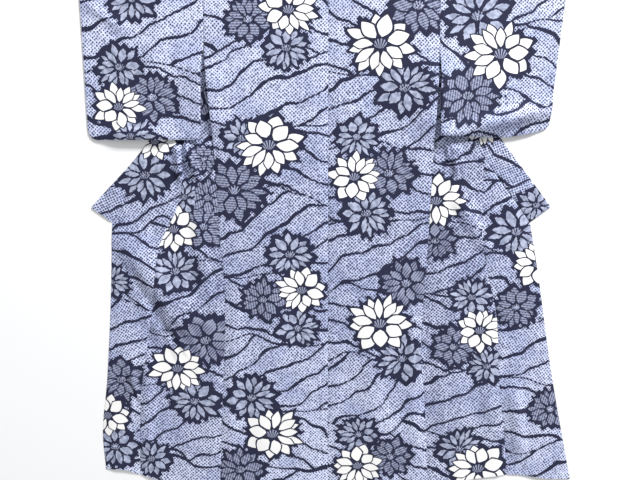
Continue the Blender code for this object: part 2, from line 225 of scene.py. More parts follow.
# Tucks rise softly to their line and drop on its right-hand side, seen from its start
FLOOR_TUCKS = in_metres(Tuck, (
    (725, -598, 1085, -366, 100, 50, 15),
    (960, -478, 1120, -392, 16, 10, 3.5),
    (1010, -476, 1150, -410, 14, 9, 3),
    (508, -575, 508, -312, 16, 120, 9.5),
    (501, 290, 493, 555, 16, 115, 9),
    (470, -392, 612, -362, 22, 10, 8.5),
    (640, -400, 470, -416, 20, 10, 7),
    (480, 332, 600, 356, 22, 10, 6.5),
    (768, 362, 660, 410, 40, 20, 4.5),
    (1310, 452, 1120, 506, 30, 12, 6),
    (1120, -584, 1265, -536, 16, 9, 5.5),
    (1095, -560, 1180, -566, 14, 8, 3.5),
    (1320, 250, 1140, 262, 45, 20, 4.5),
    (1460, 568, 1170, 538, 55, 30, 6),
    (1440, 340, 1010, 322, 45, 45, 4.5),
    (1400, 500, 1220, 488, 50, 18, 4),
))
SLEEVE_TUCKS = in_metres(Tuck, (
    (500, 262, 385, 675, 45, 40, 13.5),
    (485, -350, 462, -640, 50, 24, 4),
))
SLEEVE_CREASES = in_metres(Fold, (
    (476, -352, 476, -625, 52, 3),
    (130, -648, 205, -540, 12, 2),
    (180, -650, 250, -560, 12, 1.5),
))

# Waves of loose cloth, in radians a metre. Each row is a share and two waves that are multiplied
SLACK_WAVES = (
    (1.0, Wave(19.0, 7.0, 1.3), Wave(-6.0, 11.0, 0.0)),
    (0.6, Wave(43.0, -17.0, 0.0), Wave(13.0, 29.0, 0.7)),
)
LONG_WAVE, LONG_SHARE = 56.0, 0.9
LONG_DRIFT, DRIFT_WAVE = 5.0, Wave(0.0, 2.1, 0.4)
LONG_STARTS = (0.55, 1.10)
SLACK_MOST = 2.5

# Print: the flowers on each piece of cloth, as across, down, radius, turn in degrees and kind
WHITE, SOLID, HATCHED = "white", 0, 1
PRINT = {
    "sleeve_left": ((-568, 401, 68, 110, WHITE), (-561, 296, 62, 50, SOLID), (-475, 377, 66, 95, HATCHED),
        (-520, 120, 64, 20, SOLID), (-535, 480, 60, 60, SOLID)),
    "sleeve_right": ((462, 262, 90, 75, WHITE), (397, 164, 84, 80, SOLID), (377, 372, 76, 125, HATCHED)),
    "back_left": ((-106, 148, 74, 10, WHITE), (-162, 503, 88, 150, WHITE), (-74, 909, 70, 30, WHITE),
        (-161, 1336, 85, 205, WHITE), (-113, 246, 60, 20, SOLID), (-107, 806, 64, 260, SOLID),
        (-86, 1020, 58, 350, SOLID), (-221, 1226, 72, 85, SOLID), (-213, 174, 62, 35, HATCHED),
        (-260, 626, 86, 185, HATCHED), (-184, 935, 62, 245, HATCHED), (-257, 1448, 70, 105, HATCHED),
        (-235, 485, 56, 15, SOLID)),
    "back_right": ((139, 236, 88, 40, WHITE), (72, 590, 72, 220, WHITE), (148, 1005, 86, 65, WHITE),
        (88, 1436, 70, 240, WHITE), (206, 351, 74, 110, SOLID), (77, 482, 58, 140, SOLID),
        (106, 690, 68, 230, SOLID), (213, 1109, 72, 25, SOLID), (91, 1339, 58, 145, SOLID),
        (239, 138, 78, 65, HATCHED), (168, 580, 68, 155, HATCHED), (221, 889, 74, 215, HATCHED),
        (185, 1408, 62, 75, HATCHED)),
    # The hatched flower at -346, 350 on the left front fills the sleeve's open slit: painted shade, navy
    # standing in for the slit's shadow
    "front_left": ((-430, 735, 70, 300, WHITE), (-432, 1138, 76, 130, WHITE), (-475, 494, 55, 190, WHITE),
        (-398, 646, 50, 200, SOLID), (-346, 350, 82, 80, HATCHED), (-334, 648, 58, 60, HATCHED),
        (-340, 540, 42, 10, HATCHED), (-429, 854, 66, 290, SOLID), (-384, 1238, 68, 115, SOLID),
        (-518, 1414, 56, 235, SOLID), (-345, 728, 64, 25, HATCHED), (-349, 1055, 78, 305, HATCHED)),
    "front_right": ((300, 656, 75, 260, WHITE), (434, 1026, 68, 95, WHITE), (443, 1445, 85, 275, WHITE),
        (425, 452, 57, 15, WHITE), (406, 929, 58, 320, SOLID), (458, 1132, 54, 55, SOLID),
        (385, 1383, 64, 205, SOLID), (359, 1073, 62, 335, HATCHED), (300, 768, 56, 110, HATCHED)),
    "okumi_left": ((-475, 494, 55, 190, WHITE), (-641, 1281, 68, 165, WHITE), (-505, 585, 70, 170, SOLID),
        (-622, 1376, 66, 175, SOLID), (-612, 885, 52, 80, SOLID), (-595, 1172, 66, 15, HATCHED)),
    "okumi_right": ((592, 834, 70, 335, WHITE), (527, 742, 74, 265, SOLID), (534, 958, 60, 275, HATCHED),
        (647, 1262, 62, 45, HATCHED)),
    "collar": ((-475, 494, 55, 190, WHITE), (425, 452, 57, 15, WHITE), (-505, 585, 70, 170, SOLID),
        (578, 668, 52, 265, SOLID), (150, 150, 66, 35, HATCHED)),
}
FLOWERS = {
    node: [Flower(across / 1000, down / 1000, radius / 1000, turn, kind)
           for across, down, radius, turn, kind in rows]
    for node, rows in PRINT.items()
}

# Stream lines. Crest is how far down a rising run is centred, middle is what the lines lean about,
# and the last is how much larger the dots are on that piece: painted shade, which darkens the fronts most
STREAMS = {
    "sleeve_left": Run(0.200, -0.500, 0.0, 0.0), "sleeve_right": Run(0.470, 0.450, 0.0, 0.01),
    "back_left": Run(0.350, -0.160, 0.0, 0.0), "back_right": Run(0.405, 0.150, 0.0, 0.01),
    "front_left": Run(0.920, -0.400, 5.0, 0.045), "front_right": Run(0.840, 0.400, -5.0, 0.045),
    "okumi_left": Run(0.640, -0.560, -7.0, 0.0), "okumi_right": Run(0.680, 0.560, 7.0, 0.0),
    "collar": Run(0.300, 0.000, 20.0, 0.025),
}
STREAM_SPACING = 0.064
STREAM_HALF = 0.0042
STREAM_RAGGED = 0.5
RUN_LENGTH = 0.2
RISE, FALL = 0.44, -0.44
LEAN_VARY = 0.4
BETWEEN_RUNS = 0.6
SWAY_GRAIN, SWAY = 5.0, 0.9
WAVE_GRAIN, WAVE = 6.0, 0.130
UNEVEN_GRAIN, UNEVEN, UNEVEN_LEAST = 12.0, 1.3, 0.40

# Flowers, in shares of their radius. Spikes are the points of the dark ground round them
PETALS = 8
STRETCH = (0.98, 1.08, 0.0)
FULLNESS = {WHITE: 1.0, SOLID: 0.74, HATCHED: 0.96}
SPIKES_FULL = 2.0
# A ring of petals: its foot, its tip, how far tips vary, and half a petal's width
FRONT_RING = Ring(0.18, 0.86, 0.09, 0.156)
BACK_RING = Ring(0.42, 1.01, 0.10, 0.132)
FRONT_SPIKES = Ring(0.05, 1.14, 0.09, 0.150)
BACK_SPIKES = Ring(0.05, 1.26, 0.10, 0.130)
BACK_SEED = 17.0
SEED_TURN, SEED_STEP = 45.0, 3.0
PETAL_BEND, BEND_BY_SEED = 0.35, 2.3
PETAL_SWAY = 0.26
PETAL_POINT = 1.75
PETAL_GAP, GAP_BY_FULLNESS = 0.069, 0.038
BASE_VARY = 0.08
HALF_VARY = 0.05
OUTLINE = 0.062
HIDDEN = 2.0
HALO = 0.15
WHITE_TRIM = 0.065
WHITE_HIDES = 0.6
GREY_RAGGED = 0.34
FAN_RAYS, FAN_GAP, FAN_FOOT = 23.0, 0.05, 0.24
FAN_RADIUS, FAN_WIDE, FAN_EDGE = 0.155, 0.8, 10.0
HATCH_PITCH = 0.0068
HATCH_TURNS, HATCH_TURN = 5.0, 0.7
HATCH_RAMP = (-0.50, 0.30)

# Dots, in shares of their pitch. They grow towards the middle of the garment's length, as painted shade that
# darkens the cloth there
DOT_PITCH = 0.0069
DOT_TURN = 45
DOT_RADIUS = 0.33
DOT_BLEED = 0.19
DOT_VARY = 0.16
DOT_JITTER = 0.26
SHADE_DOT_GROWTH = 0.055
DARKEST_DOWN = 0.76
DARKEST_REACH = 0.66
STEP_SHARE = 0.85
WARP_GRAIN, WARP = 9.0, 0.020

# Tones, weave and colours
MOTTLE_GRAIN = 240.0
PATCH_GRAIN, PATCH_RAMP = 70.0, (0.34, 0.66)
TONE_GRAIN, TONE_RAMP = 9.0, (0.30, 0.62)
# Painted shade: how much the pale ground darkens towards the middle of the garment's length
SHADE_TONE_DROP = 0.35
THREADS = (("X", 260.0), ("Y", 240.0))
THREAD_SWAY = 0.6
SLUB_GRAIN, SLUB_STRETCH = 500.0, (1.0, 0.15, 0.0)
WEAVE_STRENGTH, WEAVE_DEPTH = 0.10, 0.0003
ROUGHNESS, ROUGHNESS_VARY = 0.80, 0.12
SHEEN = 0.05
SPECULAR = 0.25
NAVY = (0.010, 0.011, 0.034)
NAVY_SOFT = (0.024, 0.027, 0.066)
DOT_BLUE = (0.085, 0.097, 0.190)
PALE = (0.71, 0.765, 0.985)
PALE_BLUE = (0.53, 0.59, 0.85)
BARE = (0.90, 0.90, 0.885)
PETAL_BLUE = (0.46, 0.50, 0.66)
PETAL_DEEP = (0.24, 0.27, 0.38)
HATCH_PALE = (0.32, 0.35, 0.48)
HATCH_DARK = (0.085, 0.093, 0.165)

# Floor and light
FLOOR_REACH = 6.0
FLOOR_DROP = 0.0004
FLOOR_COLOUR = (0.92, 0.92, 0.92, 1.0)
FLOOR_ROUGHNESS = 0.9
SKY_COLOUR = (0.97, 0.98, 1.0, 1.0)
SKY_STRENGTH = 0.52
LAMPS = (
    Lamp("key", (3.2, 5.0, 2.5), 1.4, 718.0),
    Lamp("fill", (-1.8, -0.6, 2.4), 1.5, 6.0),
)

# Camera, from the photograph's own perspective
LENS_MM = 33.75
SENSOR_MM = 36.0
CAMERA_AT = (-0.0469, 0.184, 1.665)
CAMERA_TILT = -7.7


def smooth_step(start, end, value):
    """Rise softly from 0 at start to 1 at end."""
    share = np.clip((value - start) / (end - start), 0.0, 1.0)
    return share * share * (3.0 - 2.0 * share)


def fade(start, end, value):
    """Fall softly from 1 at start to 0 at end."""
    return 1.0 - smooth_step(start, end, value)


def through(table, key):
    """A smooth curve through a table whose first column is the key. It never overshoots a row."""
    keys, values = np.array(table, dtype=float).T
    rises = np.diff(values) / np.diff(keys)
    slopes = np.zeros(len(keys))
    slopes[0], slopes[-1] = rises[0], rises[-1]
    for i in range(1, len(keys) - 1):
        before, after = rises[i - 1], rises[i]
        if before * after > 0:
            slopes[i] = 2 * before * after / (before + after)
    held = np.clip(np.asarray(key, dtype=float), keys[0], keys[-1])
    index = np.clip(np.searchsorted(keys, held, side="right") - 1, 0, len(keys) - 2)
    span = keys[index + 1] - keys[index]
    t = (held - keys[index]) / span
    curve = (2 * t ** 3 - 3 * t ** 2 + 1) * values[index] + (-2 * t ** 3 + 3 * t ** 2) * values[index + 1]
    lean = (t ** 3 - 2 * t ** 2 + t) * slopes[index] + (t ** 3 - t ** 2) * slopes[index + 1]
    return curve + lean * span


def collar_crossing(side):
    """How far down the collar's seam passes the armhole line."""
    low, high = 0.0, KENSAKI[side]
    for _ in range(40):
        middle = (low + high) / 2
        if abs(through(COLLAR_SEAM[side], middle)) < abs(ARMHOLE[side]):
            low = middle
        else:
            high = middle
    return low


CROSSING = {side: collar_crossing(side) for side in ("left", "right")}


def rows_between(start, end, fixed=()):
    """Distances down, about a cell apart, that take in the fixed ones."""
    stops = sorted({start, end, *[stop for stop in fixed if start < stop < end]})
    rows = [start]
    for low, high in zip(stops[:-1], stops[1:]):
        count = max(1, round((high - low) / CELL))
        rows += [low + (high - low) * step / count for step in range(1, count + 1)]
    return np.array(rows)


def front_inner(side, down):
    """Edge of a front: the fold that runs under the back from the neck, then the side seam."""
    start = SIGN[side] * NECK_HALF
    end = through(SIDE_SEAM[side], FRONT_FOLD_END)
    fold = start + (end - start) * down / FRONT_FOLD_END
    return np.where(down < FRONT_FOLD_END, fold, through(SIDE_SEAM[side], down))


def front_outer(side, down):
    """Edge of a front: the armhole, then the collar's seam, then the seam of the overlap panel."""
    collar = through(COLLAR_SEAM[side], down)
    okumi = through(OKUMI_SEAM[side], down)
    below = np.where(down <= KENSAKI[side], collar, okumi)
    return np.where(down <= CROSSING[side], ARMHOLE[side], below)


def okumi_outer(side, down):
    """Free edge of an overlap panel: the collar's seam, then the front edge."""
    return np.where(down <= COLLAR_END, through(COLLAR_SEAM[side], down), through(FRONT_EDGE[side], down))


def hem_shift(across, down):
    """The hem isn't level, so the lower rows follow it more and more."""
    return (through(HEM, across) - LENGTH) * smooth_step(HEM_STARTS, LENGTH, down)


def distance_to_line(across, down, line):
    """Distance to a straight line between two points, and the share of its length passed there."""
    (x0, y0), (x1, y1) = line
    dx, dy = x1 - x0, y1 - y0
    x, y = across - x0, down - y0
    held = np.clip((x * dx + y * dy) / (dx * dx + dy * dy), 0.0, 1.0)
    return np.hypot(x - held * dx, y - held * dy), held


def collar_axis():
    """A few straight lines down the middle of the collar, which the upper layers lie over."""
    points = []
    for side, downs in (("left", AXIS_DOWNS[::-1]), ("right", AXIS_DOWNS)):
        for down in downs:
            half = through(COLLAR_WIDTH[side], down) / 2
            across = through(COLLAR_SEAM[side], down) + SIGN[side] * AXIS_OUT * half
            points.append((across, down - AXIS_UP * half))
        if side == "left":
            points.append(AXIS_AT_NECK)
    return list(zip(points[:-1], points[1:]))


COLLAR_AXIS = collar_axis()


def near_collar(across, down):
    """1 over the collar, falling to 0 where the cloth is back on the floor."""
    nearest = np.min([distance_to_line(across, down, line)[0] for line in COLLAR_AXIS], axis=0)
    return fade(NEAR_COLLAR, CLEAR_OF_COLLAR, nearest)


def fold_height(across, down, folds):
    """Height of the folds at a place: soft ridges that run out at their ends."""
    height = np.zeros_like(across)
    for fold in folds:
        line = ((fold.across_from, fold.down_from), (fold.across_to, fold.down_to))
        away, share = distance_to_line(across, down, line)
        crest = 0.5 + 0.5 * np.cos(math.pi * np.clip(away / fold.half_width, 0.0, 1.0))
        ends = smooth_step(0.0, FOLD_ENDS, share) * smooth_step(0.0, FOLD_ENDS, 1.0 - share)
        height = height + fold.height * crest * ends
    return height


def wave_at(wave, across, down):
    """A plain wave over the cloth, from -1 to 1."""
    return np.sin(wave.across * across + wave.down * down + wave.phase)


def slack(across, down):
    """From 0 to 1: unevenness of cloth that lies loose, with long soft waves towards the hem."""
    height = np.sin(LONG_WAVE * across + LONG_DRIFT * wave_at(DRIFT_WAVE, across, down))
    height = LONG_SHARE * height * smooth_step(*LONG_STARTS, down)
    for share, first, second in SLACK_WAVES:
        height = height + share * wave_at(first, across, down) * wave_at(second, across, down)
    return (height + SLACK_MOST) / (2 * SLACK_MOST)


def edge_lift(side, across, down):
    """The back's edge stands up a little beside the sleeve's open edge."""
    from_edge = np.abs(through(SIDE_SEAM[side], down)) - np.abs(across)
    along = smooth_step(*BACK_EDGE_STARTS, down) * fade(*BACK_EDGE_ENDS, down)
    return BACK_EDGE_LIFT * along * fade(0.0, SLIT_WIDTH, from_edge)


def tuck_height(across, down, tucks):
    """Height of the tucks: a soft rise up to a line, with a shorter drop past it."""
    height = np.zeros_like(across)
    for tuck in tucks:
        dx, dy = tuck.across_to - tuck.across_from, tuck.down_to - tuck.down_from
        x, y = across - tuck.across_from, down - tuck.down_from
        length = math.hypot(dx, dy)
        past = (x * dy - y * dx) / -length
        share = (x * dx + y * dy) / length ** 2
        ends = smooth_step(0.0, TUCK_ENDS, share) * smooth_step(0.0, TUCK_ENDS, 1.0 - share)
        rise = smooth_step(-tuck.rise, 0.0, past) * fade(0.0, tuck.drop, past)
        height = height + tuck.height * rise * ends
    return height


def front_floor(across, down):
    """Lower face of the fronts and overlap panels."""
    over = FRONT_OVER_COLLAR * near_collar(across, down) * fade(*FRONT_OFF_COLLAR, down)
    folds = fold_height(across, down, FLOOR_FOLDS + FLOOR_CREASES)
    return over + folds + tuck_height(across, down, FLOOR_TUCKS)


def back_floor(across, down):
    """Lower face of the back, which lies on the fronts under the sleeves and on the collar."""
    fold_end = np.minimum(down, FRONT_FOLD_END)
    inner = np.abs(np.where(across < 0, front_inner("left", fold_end), front_inner("right", fold_end)))
    on_front = fade(*BACK_OFF_FRONT, inner - np.abs(across))
    at_neck = fade(*BACK_OFF_SHOULDER, down)
    layered = fade(*BACK_OFF_LAYERS, down)
    over = FRONT_OVER_COLLAR * near_collar(across, down) + BACK_OVER_FRONT * np.maximum(on_front, at_neck)
    lift = np.where(across < 0, edge_lift("left", across, down), edge_lift("right", across, down))
    return over * layered + fold_height(across, down, FLOOR_FOLDS) + lift


def slit_lift(side, across, down):
    """The open body-side edge of a sleeve stands up a little below the armhole."""
    from_edge = np.abs(across) - np.abs(through(SLEEVE_INNER[side], down))
    along = smooth_step(*SLIT_STARTS, down)
    return SLIT_LIFT * along * fade(0.0, SLIT_WIDTH, from_edge)


def sleeve_floor(side, across, down):
    """Lower face of a sleeve's under layer."""
    rise = FRONT_OVER_COLLAR + SLEEVE_OVER_FRONT * smooth_step(*SLEEVE_ON_FRONT, down)
    folds = fold_height(across, down, SLEEVE_FOLDS + SLEEVE_CREASES)
    folds = folds + tuck_height(across, down, SLEEVE_TUCKS)
    return rise * near_collar(across, down) + folds + LOWER_LIFT_SHARE * slit_lift(side, across, down)


def sleeve_hollow(side, across, down):
    """Height of the gap between a sleeve's two layers."""
    return SLEEVE_HOLLOW + (1.0 - LOWER_LIFT_SHARE) * slit_lift(side, across, down)


def place(across, down, height):
    """From garment sizes to the frame."""
    return np.stack([across + SEAM_SHIFT, SHOULDER_Y - down, height], axis=-1)


def spread(start, end, columns):
    """Column positions between two edges, closer together near them, for every row."""
    width = np.abs(end - start)
    squeeze = np.sign(end - start) * np.minimum(1.0, width / EDGE_ROOM)
    near = squeeze[:, None] * np.array(EDGE_STEPS)
    left = start[:, None] + near
    right = end[:, None] - near[:, ::-1]
    inner = np.linspace(0.0, 1.0, columns + 1)[None, 1:-1]
    middle = left[:, -1:] + (right[:, :1] - left[:, -1:]) * inner
    return np.concatenate([left, middle, right], axis=1)


def put_in_scene(name, data):
    """Make an object of a mesh, light or camera and put it in the scene."""
    thing = bpy.data.objects.new(name, data)
    bpy.context.scene.collection.objects.link(thing)
    return thing


class Surface:
    """Collects points and faces of one mesh."""

    def __init__(self):
        self.points = []
        self.faces = []

    def grid(self, points, flip=False):
        """Add a grid of points with its faces, and give back the points' numbers."""
        rows, columns = points.shape[:2]
        start = len(self.points)
        self.points += [tuple(point) for point in points.reshape(-1, 3).tolist()]
        numbers = start + np.arange(rows * columns).reshape(rows, columns)
        a, b = numbers[:-1, :-1].ravel(), numbers[:-1, 1:].ravel()
        c, d = numbers[1:, 1:].ravel(), numbers[1:, :-1].ravel()
        quads = np.stack([a, b, c, d] if flip else [a, d, c, b], axis=1)
        self.faces += [tuple(quad) for quad in quads.tolist()]
        return numbers

    def strip(self, first, second, flip=False):
        """Join two lines of points with faces."""
        for i in range(len(first) - 1):
            quad = (first[i], first[i + 1], second[i + 1], second[i])
            self.faces.append(quad[::-1] if flip else quad)

    def make(self, name):
        """Turn it into an object with smooth shading and clean, outward faces."""
        mesh = bpy.data.meshes.new(name)
        mesh.from_pydata(self.points, [], self.faces)
        mesh.validate()
        shape = bmesh.new()
        shape.from_mesh(mesh)
        bmesh.ops.recalc_face_normals(shape, faces=shape.faces)
        shape.to_mesh(mesh)
        shape.free()
        mesh.shade_smooth()
        mesh.set_sharp_from_angle(angle=math.radians(SHARP_ANGLE))
        return put_in_scene(name, mesh)


def around(numbers):
    """The points round a grid, in order, and back to the first."""
    sides = [numbers[0, :-1], numbers[:-1, -1], numbers[-1, :0:-1], numbers[:0:-1, 0]]
    line = [int(n) for side in sides for n in side]
    return line + line[:1]


def edge_roll(positions):
    """How much the top of a shell rolls down towards its left and right edges."""
    from_start = np.abs(positions - positions[:, :1])
    from_end = np.abs(positions - positions[:, -1:])
    nearest = np.minimum(from_start, from_end)
    return SEAM_ROLL * fade(0.0, SEAM_ROLL_WIDTH, nearest)


def shell_panel(part, side, downs, start, end, floor_at, columns, turn=None):
    """The cloth of one flat panel. It lies loose from a place down, but not at its seams."""
    across = spread(start, end, columns)
    down = np.repeat(downs[:, None], across.shape[1], axis=1)
    to_seam = np.minimum(np.abs(across - start[:, None]), np.abs(end[:, None] - across))
    loose = smooth_step(LOOSE_FROM[part], LOOSE_FROM[part] + LOOSE_GROWS, down)
    loose = loose * smooth_step(0.0, SEAM_VALLEY, to_seam)
    hem = fade(HEM_FOLD - HEM_SOFT, HEM_FOLD + HEM_SOFT, LENGTH - down)
    height = floor_at(across, down) + LOOSE * slack(across, down) * loose
    if turn:
        height = height - turn(across, down)
    placed = down + hem_shift(across, down)
    shape = Surface()
    low = shape.grid(place(across, placed, height), flip=True)
    high = shape.grid(place(across, placed, height + SHELL + HEM_STEP * hem - edge_roll(across)))
    shape.strip(around(low), around(high))
    return shape.make(f"cloth_{part}_{side}")


def cloth_back(side):
    """Half of the back."""
    def turn(across, down):
        return SHOULDER_TURN * smooth_step(*TURN_ACROSS, np.abs(across)) * fade(*TURN_DOWN, down)

    gap = SIGN[side] * SEAM_GAP / 2
    downs = np.concatenate([TURN_ROWS, rows_between(TURN_DOWN[1], LENGTH, (LENGTH - HEM_FOLD,))])
    start = np.full_like(downs, gap)
    end = through(SIDE_SEAM[side], np.maximum(0.0, downs)) - gap
    columns = round(abs(ARMHOLE[side]) / CELL)
    return shell_panel("back", side, downs, start, end, back_floor, columns, turn)


def cloth_front(side):
    """A front, from the shoulder to the hem."""
    fixed = (CROSSING[side], KENSAKI[side], FRONT_FOLD_END, LENGTH - HEM_FOLD)
    downs = rows_between(FRONT_TOP, LENGTH, fixed)
    on_collar = (CROSSING[side] < downs) & (downs <= KENSAKI[side])
    start = front_inner(side, downs) + SIGN[side] * SEAM_GAP / 2
    end = front_outer(side, downs) - SIGN[side] * np.where(on_collar, SLANT_GAP, SEAM_GAP / 2)
    return shell_panel("front", side, downs, start, end, front_floor, FRONT_COLUMNS)


def cloth_okumi(side):
    """An overlap panel, from its point to the hem."""
    downs = rows_between(KENSAKI[side] + KENSAKI_CUT, LENGTH, (COLLAR_END, LENGTH - HEM_FOLD))
    start = through(OKUMI_SEAM[side], downs) + SIGN[side] * SEAM_GAP / 2
    end = okumi_outer(side, downs) - SIGN[side] * np.where(downs <= COLLAR_END, SLANT_GAP, 0.0)
    return shell_panel("okumi", side, downs, start, end, front_floor, OKUMI_COLUMNS)


def collar_path():
    """Seam edge of the collar as points with a width, from the left end round the neck to the right."""
    downs = rows_between(NECK_ENDS, COLLAR_END)
    left, right = ([*zip(through(COLLAR_SEAM[side], downs), downs, through(COLLAR_WIDTH[side], downs))]
                   for side in ("left", "right"))
    return left[::-1] + neck_arc() + right


def neck_arc():
    """Points round the neck, on a smooth line through a few named ones."""
    first, final = (At(NECK_ENDS, through(COLLAR_SEAM[side], NECK_ENDS)) for side in ("left", "right"))
    stops = np.array([first, first, *COLLAR_NECK, final, final])
    arc = []
    for p0, p1, p2, p3 in zip(stops, stops[1:], stops[2:], stops[3:]):
        for step in range(1, NECK_STEPS + 1):
            t = step / NECK_STEPS
            down, across = 0.5 * (2 * p1 + (p2 - p0) * t + (2 * p0 - 5 * p1 + 4 * p2 - p3) * t * t
                                  + (3 * p1 - p0 - 3 * p2 + p3) * t ** 3)
            arc.append((across, down, COLLAR_WIDTH["left"][0].width))
    return arc[:-1]


def cloth_collar():
    """The doubled collar: two layers, a rounded fold at the free edge and a seam at the other."""
    path = np.array(collar_path())
    x, y, width = path.T[:, :, None]
    shares, full = np.array(COLLAR_PROFILE).T
    steps = np.gradient(path[:, :2], axis=0)
    steps /= np.linalg.norm(steps, axis=1)[:, None]
    out = np.stack([steps[:, 1], -steps[:, 0]], axis=1)
    across = x + out[:, 0:1] * width * shares
    down = y + out[:, 1:2] * width * shares
    at_neck = (y < NECK_RISE_DOWN) * fade(*NECK_RISE_ACROSS, np.abs(x))
    rise = NECK_RISE * at_neck * np.ones_like(across)
    shape = Surface()
    low = shape.grid(place(across, down, rise), flip=True)
    high = shape.grid(place(across, down, rise + COLLAR_SHELL * full))
    shape.strip(around(low), around(high))
    return shape.make("cloth_collar")


def sleeve_bottom(side, shares):
    """How far down the sleeve's lower edge is, with the rounded outer corner."""
    level = through(SLEEVE_BOTTOM[side], shares)
    width = np.abs(through(SLEEVE_OUTER[side], level) - through(SLEEVE_INNER[side], level))
    radius = TAMOTO_RADIUS[side]
    from_corner = np.clip(radius - (1.0 - shares) * width, 0.0, radius)
    return level - (radius - np.sqrt(np.maximum(0.0, radius ** 2 - from_corner ** 2)))


def sleeve_across(side, shares, down):
    """Across position of places on the sleeve."""
    inner = through(SLEEVE_INNER[side], down) + SIGN[side] * SEAM_GAP / 2
    return inner + (through(SLEEVE_OUTER[side], down) - inner) * shares


def cloth_sleeve(side):
    """A sleeve: a flat tube, folded at the top, open at the body side and at the cuff."""
    width = abs(SLEEVE_OUTER[side][0].across - SLEEVE_INNER[side][0].across)
    corner = TAMOTO_RADIUS[side] / width
    near = np.array(EDGE_STEPS) / width
    shares = np.concatenate([near, np.linspace(near[-1], 1 - corner, SLEEVE_COLUMNS)[1:],
                             1 - corner * np.array(CORNER_STEPS)])
    ends = np.array(FOLD_STEPS)
    steps = np.concatenate([ends, np.linspace(NEXT_STEP, 1.0 - NEXT_STEP, SLEEVE_ROWS), 1.0 - ends[::-1]])
    share = np.repeat(shares[:, None], len(steps), axis=1)
    bottom = sleeve_bottom(side, share)
    down = bottom * steps[None, :]
    inner_down = np.clip(down, SHELL, bottom - SHELL)
    across = sleeve_across(side, share, down)
    inner_share = np.where(share == 1.0, 1.0 - SHELL / width, share)
    inner_across = sleeve_across(side, inner_share, inner_down)
    low = sleeve_floor(side, across, down)
    hollow = sleeve_hollow(side, across, down)
    from_sides = np.minimum(share * width, (1.0 - share) * width)
    fold = fade(0.0, FOLD_REACH, np.minimum(down, bottom - down))
    rim = SEAM_ROLL * fade(0.0, SEAM_ROLL_WIDTH, from_sides)
    half = (2 * SHELL + hollow) / 2
    layers = {
        "under_out": place(across, down, low + FOLD_ROUND * half * fold),
        "over_out": place(across, down, low + 2 * half - FOLD_ROUND * half * fold - rim),
        "under_in": place(inner_across, inner_down, low + SHELL),
        "over_in": place(inner_across, inner_down, low + SHELL + hollow - rim),
    }
    cuff = int(np.searchsorted(steps * through(SLEEVE_BOTTOM[side], 1.0), CUFF_OPENING))
    return join_sleeve("cloth_sleeve_" + side, layers, cuff)


def join_sleeve(name, layers, cuff):
    """Join the outer and inner faces of a sleeve round its two openings."""
    shape = Surface()
    numbers = {key: shape.grid(points) for key, points in layers.items()}
    for kind in ("_out", "_in"):
        under, over = numbers["under" + kind], numbers["over" + kind]
        for row in (0, -1):
            shape.strip(under[:, row], over[:, row])
        shape.strip(under[-1, cuff:], over[-1, cuff:])
    for layer in ("under", "over"):
        out, ins = numbers[layer + "_out"], numbers[layer + "_in"]
        shape.strip(out[0], ins[0])
        shape.strip(out[-1, :cuff + 1], ins[-1, :cuff + 1])
    for end, row in ((0, 0), (0, -1), (-1, 0), (-1, cuff)):
        corners = (numbers[key][end, row] for key in ("under_out", "over_out", "over_in", "under_in"))
        shape.faces.append(tuple(int(corner) for corner in corners))
    return shape.make(name)


